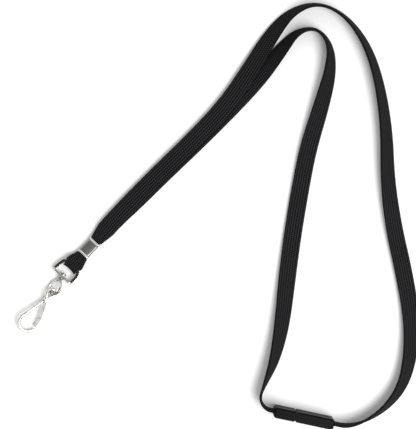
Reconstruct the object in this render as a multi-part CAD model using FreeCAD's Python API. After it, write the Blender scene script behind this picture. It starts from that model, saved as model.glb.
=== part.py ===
"""Breakaway lanyard with a swivel wire hook, laid out on a table.

Millimetres, +Z up from the table. The origin is on the underside of the crimp, at its centre.
"""
import FreeCAD, Part
import math
import os

# Flat braided strap
STRAP_WIDTH = 10.0
STRAP_THICKNESS = 1.5
STRAP_LAYER_GAP = STRAP_WIDTH / 50
ROUTE_ARC_SHARE = 0.45
LONGEST_STEP = 9.0
ARC_STEP_DEG = 11.0
BUNCH_LENGTH = 9.0

# Crimp that closes the strap over the bail
CRIMP_LENGTH = 10.6
CRIMP_WIDTH = 6.6
CRIMP_WALL = 0.5
CRIMP_LIP = 0.35
CRIMP_LIP_LENGTH = 0.8
CRIMP_SEAM_WIDTH = 0.3
CRIMP_SEAM_OFFSET = 1.7
PINCHED_THICKNESS = 1.15
STRAP_SPLIT_GAP = 0.16

# Strap loop round the bail
LOOP_THICKNESS = 1.3
LOOP_REACH = 11.3
LOOP_FLARE_SPREAD = 0.2
LOOP_FLARE_TO_FOLD = 1.0
LOOP_FOLD_HOLLOW = 0.5

# Bail
BAIL_SHEET = 1.2
BAIL_BAR_WIDTH = 2.0
BAIL_LEG_WIDTH = 1.6
BAIL_SPLAY = 0.6
BAIL_HEIGHT = 9.0
BAIL_SHOULDER_RADIUS = 2.6
BAIL_OPENING_RADIUS = 0.7
BAIL_PLATE_THICKNESS = 1.0
BAIL_PLATE_DEPTH = 5.0
BAIL_STRAP_CLEARANCE = 0.5
BAR_TURN_CLEARANCE = 0.3

# Swivel eye
STEM_RADIUS = 1.0
STEM_RUNNING_CLEARANCE = 0.06
STEM_HEAD_RADIUS = 1.7
STEM_HEAD_THICKNESS = 0.9
STEM_COLLAR_RADIUS = 1.5
STEM_COLLAR_LENGTH = 0.9
STEM_END_PLAY = 0.08
EYE_WIRE_RADIUS = 0.7
EYE_BEND_RADIUS = 3.6
EYE_STRAIGHT = 1.2
EYE_NECK = 1.2
EYE_ROLL_DEG = 31.0
EYE_LEAN_DEG = 9.5

# Wire hook, drawn with its point of crossing as zero
HOOK_WIRE_RADIUS = 0.85
HOOK_BOW_RADIUS = 5.1
HOOK_BOW_CENTRE = (15.7, -0.45)
HOOK_TIP_PAST_CENTRE_DEG = 24.0
HOOK_LOOP_LENGTH = 7.2
HOOK_LOOP_SKEW_DEG = -7.0
HOOK_LOOP_SPREAD = 3.8
HOOK_LOOP_BEND = 2.25
HOOK_EYE_CLEARANCE = 0.65
HOOK_REST_SWING_DEG = -1.0
HOOK_ROLL_DEG = -20.0
HOOK_DROOP_DEG = 0.6
GATE_WAYPOINT = (9.6, 3.3)
GATE_TIP = (15.3, 3.7)
GATE_CROSSING_CLEARANCE = 0.4
GATE_ROOT_GAP = 0.3

# Breakaway clasp, drawn from the plug's strap end
CLASP_WIDTH = 12.6
CLASP_THICKNESS = 5.8
PLUG_LENGTH = 11.9
SOCKET_LENGTH = 21.3
CLASP_JOINT_GAP = 0.1
SHELL_SEAM = 0.1
SHELL_BEVEL = 0.8
SHELL_CORNER = 1.0
STRAP_POCKET_DEPTH = 7.2
STRAP_POCKET_CLEARANCE = 0.08
LOCK_PIN_RADIUS = 1.4
LOCK_PIN_CLEARANCE = 0.05
LOCK_PIN_RECESS = 0.15
PLUG_PIN_INSET = 3.7
SOCKET_PIN_INSET = 4.2

TONGUE_THICKNESS = 2.0
TONGUE_ROOT_LENGTH = 3.6
TONGUE_ROOT_WIDTH = 10.2
TONGUE_SHOULDER_WIDTH = 5.6
TONGUE_SHOULDER_LENGTH = 1.5
TONGUE_NECK_WIDTH = 3.1
TONGUE_HEAD_WIDTH = 6.7
TONGUE_HEAD_LENGTH = 3.7
TONGUE_REACH = 6.5
TONGUE_CLEARANCE = 0.15
PRONG_LENGTH = 4.3
PRONG_WIDTH = 1.1
PRONG_INSET = 1.2
GRIP_JAW_LENGTH = 0.7

WINDOW_INSET = 6.4
WINDOW_LENGTH = 4.0
WINDOW_WIDTH = 7.0

# Layout on the table
HARDWARE_DIRECTION_DEG = 226.5
CLASP_DIRECTION_DEG = -12.1
CLASP_STRAP_END = (102.4, -89.7)
SOCKET_EXIT_RUN = 8.1

# Strap routes from the crimp to the clasp: x, y and the roll of the strap in degrees (90 is on edge)
RIGHT_ROUTE = [
    (12.2, 13.9, 0),
    (24.0, 26.3, 0),
    (40.0, 42.4, 0),
    (58.0, 59.8, 0),
    (76.0, 79.0, 0),
    (89.0, 98.0, 8),
    (101.0, 118.0, 35),
    (112.0, 131.0, 62),
    (127.0, 136.0, 78),
    (142.0, 129.0, 74),
    (154.0, 113.0, 62),
    (161.0, 92.0, 55),
    (165.0, 65.0, 45),
    (165.5, 38.0, 34),
    (169.0, 12.0, 18),
    (175.0, -14.0, 12),
    (179.0, -38.0, 20),
    (178.5, -58.0, 34),
    (174.5, -75.0, 48),
    (166.0, -87.0, 62),
    (154.0, -95.5, 76),
]
LEFT_ROUTE = [
    (12.2, 13.9, 0),
    (24.8, 25.4, 0),
    (41.0, 41.4, 0),
    (59.4, 58.8, 0),
    (77.4, 76.7, 0),
    (93.0, 93.0, 14),
    (105.5, 108.5, 44),
    (115.0, 120.0, 70),
    (126.5, 122.0, 80),
    (134.0, 112.5, 70),
    (134.0, 98.0, 50),
    (128.9, 79.0, 28),
    (121.5, 55.0, 12),
    (117.0, 31.0, 6),
    (113.0, 7.0, 8),
    (110.0, -16.0, 16),
    (107.6, -38.0, 30),
    (105.2, -52.0, 44),
    (102.4, -63.0, 58),
    (99.4, -70.8, 70),
    (97.0, -76.5, 80),
    (94.84, -82.12, 88),
    (95.67, -86.03, 90),
    (98.49, -88.86, 90),
]
UPPER_LAYER_UNTIL = 118.0
UPPER_LAYER_FADE = 5.2 * STRAP_WIDTH
CLASP_LIFT_LENGTH = 26.0
PLUG_TAIL_LENGTH = 23.0

# Worked out from the sizes above
CRIMP_HALF = CRIMP_LENGTH / 2
PINCHED_WIDTH = CRIMP_WIDTH - 2 * CRIMP_WALL - 2 * STRAP_POCKET_CLEARANCE
CRIMP_HEIGHT = 2 * PINCHED_THICKNESS + 2 * CRIMP_WALL + 2 * STRAP_POCKET_CLEARANCE
BAR_HALF_DIAGONAL = math.hypot(BAIL_SHEET, BAIL_BAR_WIDTH) / 2
LOOP_INNER_RADIUS = BAR_HALF_DIAGONAL + BAR_TURN_CLEARANCE
LOOP_OUTER_RADIUS = LOOP_INNER_RADIUS + LOOP_THICKNESS
BAR_HEIGHT = LOOP_OUTER_RADIUS
FOLD_END = CRIMP_HALF + LOOP_REACH
BAR_X = FOLD_END - LOOP_OUTER_RADIUS
LOOP_FLARE_WIDTH = STRAP_WIDTH + LOOP_FLARE_SPREAD
LOOP_FOLD_HALF_WIDTH = LOOP_FLARE_WIDTH / 2 - LOOP_FLARE_TO_FOLD
BAIL_INNER_HALF_WIDTH = LOOP_FOLD_HALF_WIDTH + BAIL_STRAP_CLEARANCE
BAIL_TOP_HALF_WIDTH = BAIL_INNER_HALF_WIDTH + BAIL_LEG_WIDTH
BAIL_BOTTOM_HALF_WIDTH = BAIL_TOP_HALF_WIDTH + BAIL_SPLAY
PLATE_OUTER_X = BAR_X - BAIL_BAR_WIDTH / 2 + BAIL_HEIGHT
PLATE_INNER_X = PLATE_OUTER_X - BAIL_PLATE_THICKNESS
PLATE_MIDDLE_X = (PLATE_INNER_X + PLATE_OUTER_X) / 2
STEM_LEAN_PLAY = STEM_END_PLAY + STEM_HEAD_RADIUS * math.tan(math.radians(EYE_LEAN_DEG))
STEM_FACE_X = BAIL_PLATE_THICKNESS / 2 + STEM_LEAN_PLAY
EYE_TOP_X = STEM_FACE_X + STEM_COLLAR_LENGTH + EYE_NECK
EYE_BOTTOM_X = EYE_TOP_X + 2 * EYE_BEND_RADIUS + EYE_STRAIGHT
CLASP_LENGTH = PLUG_LENGTH + CLASP_JOINT_GAP + SOCKET_LENGTH
SOCKET_MOUTH = PLUG_LENGTH + CLASP_JOINT_GAP
HALF_SHELL = CLASP_THICKNESS / 2
HEAD_REAR = SOCKET_MOUTH + TONGUE_REACH - TONGUE_HEAD_LENGTH
Z_AXIS = FreeCAD.Vector(0, 0, 1)


def vector(x, y, z=0.0):
    return FreeCAD.Vector(x, y, z)


def box(x0, x1, y0, y1, z0, z1):
    return Part.makeBox(x1 - x0, y1 - y0, z1 - z0, vector(x0, y0, z0))


def cylinder(radius, start, direction, length):
    return Part.makeCylinder(radius, length, start, direction)


def prism(points, z0, z1):
    outline = Part.makePolygon([vector(x, y, z0) for x, y in points + points[:1]])
    return Part.Face(outline).extrude(vector(0, 0, z1 - z0))


def rounded_path(points, radii):
    """Straight runs joined by tangent arcs; one radius for each inner point."""
    edges = []
    here = points[0]
    for before, corner, after, radius in zip(points, points[1:], points[2:], radii):
        to_start = (before - corner).normalize()
        to_end = (after - corner).normalize()
        half_turn = (math.pi - to_start.getAngle(to_end)) / 2
        reach = radius * math.tan(half_turn)
        arc_start = corner + to_start * reach
        arc_end = corner + to_end * reach
        bisector = (to_start + to_end).normalize()
        middle = corner + bisector * (radius / math.cos(half_turn) - radius)
        edges.append(Part.LineSegment(here, arc_start).toShape())
        edges.append(Part.Arc(arc_start, middle, arc_end).toShape())
        here = arc_end
    edges.append(Part.LineSegment(here, points[-1]).toShape())
    return edges


def rod(edges, radius):
    """Round wire swept along edges that meet end to end, with rounded ends."""
    path = Part.Wire(edges)
    start = edges[0].valueAt(edges[0].FirstParameter)
    end = edges[-1].valueAt(edges[-1].LastParameter)
    tangent = edges[0].tangentAt(edges[0].FirstParameter)
    profile = Part.Wire(Part.makeCircle(radius, start, tangent))
    sweep = path.makePipeShell([profile], True, False)
    return sweep.fuse([Part.makeSphere(radius, start), Part.makeSphere(radius, end)]).removeSplitter()


def loop_point(x, y):
    """A point of the hook's loop, which leans a little to one side of the hook's own line."""
    lean = math.radians(HOOK_LOOP_SKEW_DEG)
    return vector(x * math.cos(lean) - y * math.sin(lean), x * math.sin(lean) + y * math.cos(lean))


def write(node, shape):
    print(node, "solids", len(shape.Solids), "valid", shape.isValid(), "volume", round(shape.Volume, 2))
    shape.exportStep("parts/%s.step" % node)


def place_hardware(shape):
    placed = shape.copy()
    placed.rotate(vector(0, 0), Z_AXIS, HARDWARE_DIRECTION_DEG)
    return placed


def place_eye(shape):
    """From the stem's own line, its zero in the middle of the bail's plate, to the table."""
    placed = shape.copy()
    placed.rotate(vector(0, 0), Z_AXIS, EYE_LEAN_DEG)
    placed.translate(vector(PLATE_MIDDLE_X, 0, BAR_HEIGHT))
    return place_hardware(placed)


def place_hook(shape):
    """From the crossing's frame to the swivel eye's lowest wire: rolled, drooped and swung about it."""
    link = loop_point(HOOK_WIRE_RADIUS + EYE_WIRE_RADIUS + HOOK_EYE_CLEARANCE - HOOK_LOOP_LENGTH, 0)
    placed = shape.copy()
    placed.translate(-link)
    placed.rotate(vector(0, 0), vector(1, 0), HOOK_ROLL_DEG)
    placed.rotate(vector(0, 0), vector(0, 1), HOOK_DROOP_DEG)
    placed.rotate(vector(0, 0), Z_AXIS, HOOK_REST_SWING_DEG)
    placed.translate(vector(EYE_BOTTOM_X, 0))
    return place_eye(placed)


def place_clasp(shape):
    """From the flat drawing to standing on its long side on the table."""
    placed = shape.copy()
    placed.rotate(vector(0, 0), vector(1, 0), 90)
    placed.translate(vector(0, 0, CLASP_WIDTH / 2))
    placed.rotate(vector(0, 0), Z_AXIS, CLASP_DIRECTION_DEG)
    placed.translate(vector(*CLASP_STRAP_END))
    return placed


# Strap -------------------------------------------------------------------------------------------


def clasp_point(distance):
    angle = math.radians(CLASP_DIRECTION_DEG)
    x, y = CLASP_STRAP_END
    return (x + distance * math.cos(angle), y + distance * math.sin(angle))


def crimp_mouth():
    angle = math.radians(HARDWARE_DIRECTION_DEG)
    return (-CRIMP_HALF * math.cos(angle), -CRIMP_HALF * math.sin(angle))


def strap_route(route, end_points):
    """The crimp's mouth, the points chosen for the route, and the clasp, with a roll for each."""
    stops = [crimp_mouth() + (0,)] + route + [point + (90,) for point in end_points]
    points = [vector(x, y) for x, y, roll in stops]
    rolls = [roll for x, y, roll in stops]
    radii = []
    for before, corner, after in zip(points, points[1:], points[2:]):
        shorter = min((corner - before).Length, (after - corner).Length)
        turn = (corner - before).getAngle(after - corner)
        radii.append(ROUTE_ARC_SHARE * shorter / math.tan(turn / 2))
    return points, rolls, radii


def path_stations(points, rolls, radii):
    """Places along the path: distance, point, sideways direction and roll."""
    edges = rounded_path(points, radii)
    knots = [0.0]
    travelled = 0.0
    for number, edge in enumerate(edges):
        if number % 2:
            knots.append(travelled + edge.Length / 2)
        travelled += edge.Length
    knots.append(travelled)
    stations = []
    travelled = 0.0
    for number, edge in enumerate(edges):
        steps = max(1, math.ceil(edge.Length / LONGEST_STEP))
        if number % 2:
            turn = edge.tangentAt(edge.FirstParameter).getAngle(edge.tangentAt(edge.LastParameter))
            steps = max(steps, math.ceil(math.degrees(turn) / ARC_STEP_DEG))
        first = 0 if number == 0 else 1
        for step in range(first, steps + 1):
            share = step / steps
            parameter = edge.FirstParameter + share * (edge.LastParameter - edge.FirstParameter)
            tangent = edge.tangentAt(parameter)
            distance = travelled + share * edge.Length
            sideways = vector(tangent.y, -tangent.x)
            roll = roll_at(distance, knots, rolls)
            stations.append((distance, edge.valueAt(parameter), sideways, roll))
        travelled += edge.Length
    return stations, travelled


def roll_at(distance, knots, rolls):
    for start, end, roll_start, roll_end in zip(knots, knots[1:], rolls, rolls[1:]):
        if distance <= end:
            share = (distance - start) / (end - start)
            return roll_start + share * (roll_end - roll_start)
    return rolls[-1]


def smooth(share):
    share = min(1.0, max(0.0, share))
    return share * share * (3 - 2 * share)


def strap_sections(stations, length, upper):
    """A rectangle across the strap at each station: on the table, the lower strap or held by the clasp."""
    sections = []
    clasp_lift = (CLASP_WIDTH - STRAP_WIDTH) / 2
    inside_z = CRIMP_WALL + STRAP_POCKET_CLEARANCE + PINCHED_THICKNESS * (1.5 if upper else 0.5)
    for distance, point, sideways, roll in stations:
        spread = smooth(distance / BUNCH_LENGTH)
        width = PINCHED_WIDTH + spread * (STRAP_WIDTH - PINCHED_WIDTH)
        thickness = PINCHED_THICKNESS + spread * (STRAP_THICKNESS - PINCHED_THICKNESS)
        angle = math.radians(roll)
        layer = 1 - smooth((distance - UPPER_LAYER_UNTIL) / UPPER_LAYER_FADE) if upper else 0.0
        near_clasp = 1 - smooth((length - distance) / CLASP_LIFT_LENGTH)
        lift = layer * (STRAP_THICKNESS + STRAP_LAYER_GAP) + near_clasp * clasp_lift
        free_z = width / 2 * math.sin(angle) + thickness / 2 * math.cos(angle) + lift
        centre = point + Z_AXIS * (inside_z + spread * (free_z - inside_z))
        across = sideways * math.cos(angle) + Z_AXIS * math.sin(angle)
        through = Z_AXIS * math.cos(angle) - sideways * math.sin(angle)
        half = across * (width / 2)
        skin = through * (thickness / 2)
        lower = [centre - half - skin, centre + half - skin]
        upper_corners = [centre + half + skin, centre - half + skin]
        sections.append(Part.makePolygon(lower + upper_corners + lower[:1]))
    return sections


def strap_solid(stations, length, upper):
    return Part.makeLoft(strap_sections(stations, length, upper), True, True)


def report_strap(name, solid, length, radii):
    share = solid.Volume / (STRAP_WIDTH * STRAP_THICKNESS * length)
    print(name, "length", round(length, 1), "volume over section times length", round(share, 3))
    print(name, "arc radii", [round(radius, 1) for radius in radii])


def make_straps():
    socket_end = clasp_point(CLASP_LENGTH)
    socket_exit = clasp_point(CLASP_LENGTH + SOCKET_EXIT_RUN)
    points, rolls, radii = strap_route(RIGHT_ROUTE, [socket_exit, socket_end])
    stations, length = path_stations(points, rolls, radii)
    right_run = strap_solid(stations, length, True)
    report_strap("strap_right_run", right_run, length, radii)

    points, rolls, radii = strap_route(LEFT_ROUTE, [clasp_point(0)])
    stations, length = path_stations(points, rolls, radii)
    cut = max(number for number, station in enumerate(stations) if station[0] < length - PLUG_TAIL_LENGTH)
    left_run = strap_solid(stations[: cut + 1], length, False)
    plug_tail = strap_solid(stations[cut:], length, False)
    report_strap("strap_left_run with plug tail", left_run.fuse(plug_tail), length, radii)
    write("strap_right_run", right_run)
    write("strap_left_run", left_run)
    write("strap_plug_tail", plug_tail)


def make_strap_clasp_ends():
    """The last of the strap, clamped inside each half of the clasp by its lock pin."""
    for node, x0, x1, pin_x in (
        ("strap_plug_end", STRAP_SPLIT_GAP, STRAP_POCKET_DEPTH, PLUG_PIN_INSET),
        (
            "strap_socket_end",
            CLASP_LENGTH - STRAP_POCKET_DEPTH,
            CLASP_LENGTH - STRAP_SPLIT_GAP,
            CLASP_LENGTH - SOCKET_PIN_INSET,
        ),
    ):
        half_thickness = STRAP_THICKNESS / 2
        body = box(x0, x1, -STRAP_WIDTH / 2, STRAP_WIDTH / 2, -half_thickness, half_thickness)
        write(node, place_clasp(body.cut(lock_pin_hole(pin_x))))


def make_strap_hook_loop():
    """Both layers through the crimp, then round the bail's bar."""
    low = CRIMP_WALL + STRAP_POCKET_CLEARANCE
    high = low + 2 * PINCHED_THICKNESS
    centre = vector(BAR_X, 0, BAR_HEIGHT)
    run = BAR_X - CRIMP_HALF

    def outline(radius, start_low, start_high, start_x):
        bottom = vector(BAR_X, 0, BAR_HEIGHT - radius)
        top = vector(BAR_X, 0, BAR_HEIGHT + radius)
        edges = [
            Part.LineSegment(vector(start_x, 0, start_low), bottom).toShape(),
            Part.Arc(bottom, centre + vector(radius, 0), top).toShape(),
            Part.LineSegment(top, vector(start_x, 0, start_high)).toShape(),
            Part.LineSegment(vector(start_x, 0, start_high), vector(start_x, 0, start_low)).toShape(),
        ]
        face = Part.Face(Part.Wire(edges))
        face.translate(vector(0, -LOOP_FLARE_WIDTH))
        return face.extrude(vector(0, 2 * LOOP_FLARE_WIDTH))

    middle = (low + high) / 2
    inner_x = CRIMP_HALF + 0.25 * run
    skin = outline(LOOP_OUTER_RADIUS, low, high, CRIMP_HALF)
    hollow = outline(LOOP_INNER_RADIUS, middle - 0.1, middle + 0.1, inner_x)
    flare_x = BAR_X - BAIL_BAR_WIDTH / 2 - 0.9
    taper_x = BAR_X - BAIL_BAR_WIDTH / 2 - BAIL_STRAP_CLEARANCE
    right_side = [
        vector(CRIMP_HALF, -PINCHED_WIDTH / 2),
        vector(flare_x, -LOOP_FLARE_WIDTH / 2),
        vector(taper_x, -LOOP_FOLD_HALF_WIDTH),
        vector(FOLD_END, -LOOP_FOLD_HALF_WIDTH),
    ]
    left_side = [vector(point.x, -point.y) for point in reversed(right_side)]
    edges = [Part.LineSegment(a, b).toShape() for a, b in zip(right_side, right_side[1:])]
    fold_middle = vector(FOLD_END - LOOP_FOLD_HOLLOW, 0)
    edges.append(Part.Arc(right_side[-1], fold_middle, left_side[0]).toShape())
    edges += [Part.LineSegment(a, b).toShape() for a, b in zip(left_side, left_side[1:])]
    edges.append(Part.LineSegment(left_side[-1], right_side[0]).toShape())
    plan = Part.Face(Part.Wire(edges)).extrude(vector(0, 0, 2 * LOOP_OUTER_RADIUS))
    stub = box(-CRIMP_HALF + STRAP_SPLIT_GAP, CRIMP_HALF, -PINCHED_WIDTH / 2, PINCHED_WIDTH / 2, low, high)
    write("strap_hook_loop", place_hardware(skin.cut(hollow).common(plan).fuse(stub)))


# Metal hardware ----------------------------------------------------------------------------------


def make_crimp():
    """Folded ferrule, its seam on the underside and its ends belled to a bright lip."""
    half = CRIMP_WIDTH / 2
    body = box(-CRIMP_HALF, CRIMP_HALF, -half, half, 0, CRIMP_HEIGHT)
    long_edges = [edge for edge in body.Edges if abs(edge.Vertexes[0].X - edge.Vertexes[1].X) > 1]
    body = body.makeFillet(CRIMP_WALL * 1.6, long_edges)
    for end in (-1, 1):
        outer_x = end * CRIMP_HALF
        inner_x = end * (CRIMP_HALF - CRIMP_LIP_LENGTH)
        lip_half = half + CRIMP_LIP
        wide = Part.makePolygon(
            [
                vector(outer_x, -lip_half, 0),
                vector(outer_x, lip_half, 0),
                vector(outer_x, lip_half, CRIMP_HEIGHT),
                vector(outer_x, half - CRIMP_WALL, CRIMP_HEIGHT + CRIMP_LIP),
                vector(outer_x, -half + CRIMP_WALL, CRIMP_HEIGHT + CRIMP_LIP),
                vector(outer_x, -lip_half, CRIMP_HEIGHT),
                vector(outer_x, -lip_half, 0),
            ]
        )
        narrow = Part.makePolygon(
            [
                vector(inner_x, -half, 0),
                vector(inner_x, half, 0),
                vector(inner_x, half, CRIMP_HEIGHT - CRIMP_WALL),
                vector(inner_x, half - CRIMP_WALL, CRIMP_HEIGHT),
                vector(inner_x, -half + CRIMP_WALL, CRIMP_HEIGHT),
                vector(inner_x, -half, CRIMP_HEIGHT - CRIMP_WALL),
                vector(inner_x, -half, 0),
            ]
        )
        body = body.fuse(Part.makeLoft([wide, narrow], True, True))
    hole_half = half - CRIMP_WALL
    hole = box(-CRIMP_LENGTH, CRIMP_LENGTH, -hole_half, hole_half, CRIMP_WALL, CRIMP_HEIGHT - CRIMP_WALL)
    seam_end = CRIMP_SEAM_OFFSET + CRIMP_SEAM_WIDTH
    seam = box(-CRIMP_LENGTH, CRIMP_LENGTH, CRIMP_SEAM_OFFSET, seam_end, -CRIMP_WALL, CRIMP_WALL * 1.5)
    write("crimp", place_hardware(body.cut(hole).cut(seam)))


def corner_arc(corner, toward_start, toward_end, radius):
    """Start, middle and end of the arc that rounds a square corner."""
    centre = corner + (toward_start + toward_end) * radius
    outward = (corner - centre).normalize()
    return [corner + toward_start * radius, centre + outward * radius, corner + toward_end * radius]


def make_bail():
    """D frame of flat sheet, its lowest side turned up into a plate that carries the swivel."""
    top_x = BAR_X - BAIL_BAR_WIDTH / 2
    down = vector(1, 0)
    up_side = vector(0, 1)
    shoulder = vector(top_x, BAIL_TOP_HALF_WIDTH)
    left = corner_arc(shoulder, down, -up_side, BAIL_SHOULDER_RADIUS)
    right = [vector(point.x, -point.y) for point in reversed(left)]
    foot = vector(PLATE_OUTER_X, BAIL_BOTTOM_HALF_WIDTH)
    waist = (left[0] + foot) * 0.5 + vector(0, BAIL_SPLAY * 0.15)
    outline = [
        Part.Arc(*left).toShape(),
        Part.LineSegment(left[-1], right[0]).toShape(),
        Part.Arc(*right).toShape(),
        Part.Arc(right[-1], vector(waist.x, -waist.y), vector(foot.x, -foot.y)).toShape(),
        Part.LineSegment(vector(foot.x, -foot.y), foot).toShape(),
        Part.Arc(foot, waist, left[0]).toShape(),
    ]
    frame = Part.Face(Part.Wire(outline)).extrude(vector(0, 0, BAIL_SHEET))
    inner_corner = vector(BAR_X + BAIL_BAR_WIDTH / 2, BAIL_INNER_HALF_WIDTH)
    inner_left = corner_arc(inner_corner, down, -up_side, BAIL_OPENING_RADIUS)
    inner_right = [vector(point.x, -point.y) for point in reversed(inner_left)]
    inner_foot = vector(PLATE_INNER_X, BAIL_BOTTOM_HALF_WIDTH - BAIL_LEG_WIDTH)
    opening = [
        Part.Arc(*inner_left).toShape(),
        Part.LineSegment(inner_left[-1], inner_right[0]).toShape(),
        Part.Arc(*inner_right).toShape(),
        Part.LineSegment(inner_right[-1], vector(inner_foot.x, -inner_foot.y)).toShape(),
        Part.LineSegment(vector(inner_foot.x, -inner_foot.y), inner_foot).toShape(),
        Part.LineSegment(inner_foot, inner_left[0]).toShape(),
    ]
    frame = frame.cut(Part.Face(Part.Wire(opening)).extrude(vector(0, 0, BAIL_SHEET)))
    frame.translate(vector(0, 0, BAR_HEIGHT - BAIL_SHEET / 2))
    plate_half = BAIL_PLATE_DEPTH / 2
    side = BAIL_BOTTOM_HALF_WIDTH
    plate = box(PLATE_INNER_X, PLATE_OUTER_X, -side, side, BAR_HEIGHT - plate_half, BAR_HEIGHT + plate_half)
    corners = [edge for edge in plate.Edges if edge.BoundBox.XLength > BAIL_PLATE_THICKNESS / 2]
    corners = [edge for edge in corners if edge.BoundBox.YLength + edge.BoundBox.ZLength < 0.1]
    plate = plate.makeFillet(BAIL_PLATE_DEPTH / 3, corners)
    reach = 2 * BAIL_PLATE_THICKNESS
    bore = cylinder(STEM_RADIUS + STEM_RUNNING_CLEARANCE, vector(-reach, 0), vector(1, 0), 2 * reach)
    write("bail", place_hardware(frame.fuse(plate)).cut(place_eye(bore)))


def make_swivel_eye():
    """Peened pin through the bail's plate, ending in an oval ring of round wire."""
    axis = vector(1, 0)
    head_x = -STEM_FACE_X - STEM_HEAD_THICKNESS
    collar_x = STEM_FACE_X
    head = cylinder(STEM_HEAD_RADIUS, vector(head_x, 0), axis, STEM_HEAD_THICKNESS)
    head = head.makeFillet(STEM_HEAD_THICKNESS / 3, [head.Edges[0], head.Edges[2]])
    stem = cylinder(STEM_RADIUS, vector(head_x, 0), axis, EYE_TOP_X - head_x)
    collar = Part.makeCone(STEM_COLLAR_RADIUS, STEM_RADIUS, STEM_COLLAR_LENGTH, vector(collar_x, 0), axis)
    upper = EYE_TOP_X + EYE_BEND_RADIUS
    lower = upper + EYE_STRAIGHT
    wire_section = Part.makeCircle(EYE_WIRE_RADIUS, vector(upper, EYE_BEND_RADIUS), axis)
    profile = Part.Face(Part.Wire(wire_section))
    upper_bend = profile.copy().revolve(vector(upper, 0), Z_AXIS, 180)
    lower_bend = profile.copy()
    lower_bend.translate(vector(EYE_STRAIGHT, 0))
    lower_bend = lower_bend.revolve(vector(lower, 0), vector(0, 0, -1), 180)
    sides = []
    for side in (-1, 1):
        sides.append(cylinder(EYE_WIRE_RADIUS, vector(upper, side * EYE_BEND_RADIUS), axis, EYE_STRAIGHT))
    eye = head.fuse([stem, collar, upper_bend, lower_bend] + sides)
    eye.rotate(vector(0, 0), axis, EYE_ROLL_DEG)
    write("swivel_eye", place_eye(eye))


def make_hook():
    """One wire on the real hook: a bow and loop that hold their shape, and a gate arm that springs."""
    centre = vector(*HOOK_BOW_CENTRE)
    reach = centre.Length
    spread = math.asin(HOOK_BOW_RADIUS / reach)
    arm_angle = math.atan2(centre.y, centre.x) - spread
    arm_end = vector(math.cos(arm_angle), math.sin(arm_angle)) * (reach * math.cos(spread))
    tip_angle = math.radians(90 - HOOK_TIP_PAST_CENTRE_DEG)
    tip = centre + vector(math.cos(tip_angle), math.sin(tip_angle)) * HOOK_BOW_RADIUS
    bow = Part.Arc(tip, centre + vector(HOOK_BOW_RADIUS, 0), arm_end).toShape()
    above = 2 * HOOK_WIRE_RADIUS + GATE_CROSSING_CLEARANCE
    corners = [
        arm_end,
        vector(0, 0),
        loop_point(-HOOK_LOOP_LENGTH, HOOK_LOOP_SPREAD),
        loop_point(-HOOK_LOOP_LENGTH, -HOOK_LOOP_SPREAD),
        vector(0, 0, above),
        vector(GATE_WAYPOINT[0], GATE_WAYPOINT[1], above * 0.7),
        vector(GATE_TIP[0], GATE_TIP[1], 0),
    ]
    wire = rounded_path(corners, [12.0, HOOK_LOOP_BEND, HOOK_LOOP_BEND, 5.0, 9.0])
    last_bend = wire[5]
    gate_start = last_bend.FirstParameter + (GATE_ROOT_GAP + 2 * HOOK_WIRE_RADIUS) / HOOK_LOOP_BEND
    gate_bend = last_bend.Curve.toShape(gate_start, last_bend.LastParameter)
    write("hook_wire", place_hook(rod([bow] + wire[:5], HOOK_WIRE_RADIUS)))
    write("hook_gate_arm", place_hook(rod([gate_bend] + wire[6:], HOOK_WIRE_RADIUS)))


# Breakaway clasp ---------------------------------------------------------------------------------


def shell_half(x0, x1, round_x):
    """Upper half of a clasp casing: bevelled rim, rounded corners at the strap end."""
    half = CLASP_WIDTH / 2
    block = box(x0, x1, -half, half, SHELL_SEAM / 2, HALF_SHELL)
    corners = [
        edge
        for edge in block.Edges
        if abs(edge.Vertexes[0].Z - edge.Vertexes[1].Z) > 1 and abs(edge.Vertexes[0].X - round_x) < 0.01
    ]
    block = block.makeFillet(SHELL_CORNER, corners)
    rim = [
        edge
        for edge in block.Edges
        if min(vertex.Z for vertex in edge.Vertexes) > HALF_SHELL - 0.01 and edge.BoundBox.YLength > -1
    ]
    return block.makeChamfer(SHELL_BEVEL, rim)


def lens_window(centre_x):
    """Lens shaped hole through which the tongue's head shows."""
    low = vector(centre_x, -WINDOW_WIDTH / 2)
    high = vector(centre_x, WINDOW_WIDTH / 2)
    crown = vector(centre_x + WINDOW_LENGTH * 0.6, 0)
    edges = [
        Part.Arc(low, crown, high).toShape(),
        Part.Arc(high, crown - vector(WINDOW_LENGTH, 0), low).toShape(),
    ]
    return Part.Face(Part.Wire(edges)).extrude(vector(0, 0, CLASP_THICKNESS))


def strap_pocket(x0, x1):
    gap = STRAP_POCKET_CLEARANCE
    half_width = STRAP_WIDTH / 2 + gap
    half_thickness = STRAP_THICKNESS / 2 + gap
    return box(x0, x1, -half_width, half_width, -half_thickness, half_thickness)


def lock_pin_hole(pin_x):
    radius = LOCK_PIN_RADIUS + LOCK_PIN_CLEARANCE
    return cylinder(radius, vector(pin_x, 0, -HALF_SHELL), Z_AXIS, CLASP_THICKNESS)


def write_shell_pair(name, upper, window=None):
    lower = upper.mirror(vector(0, 0), Z_AXIS)
    if window:
        upper = upper.cut(window)
    write(name + "_upper_shell", place_clasp(upper))
    write(name + "_lower_shell", place_clasp(lower))


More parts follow.
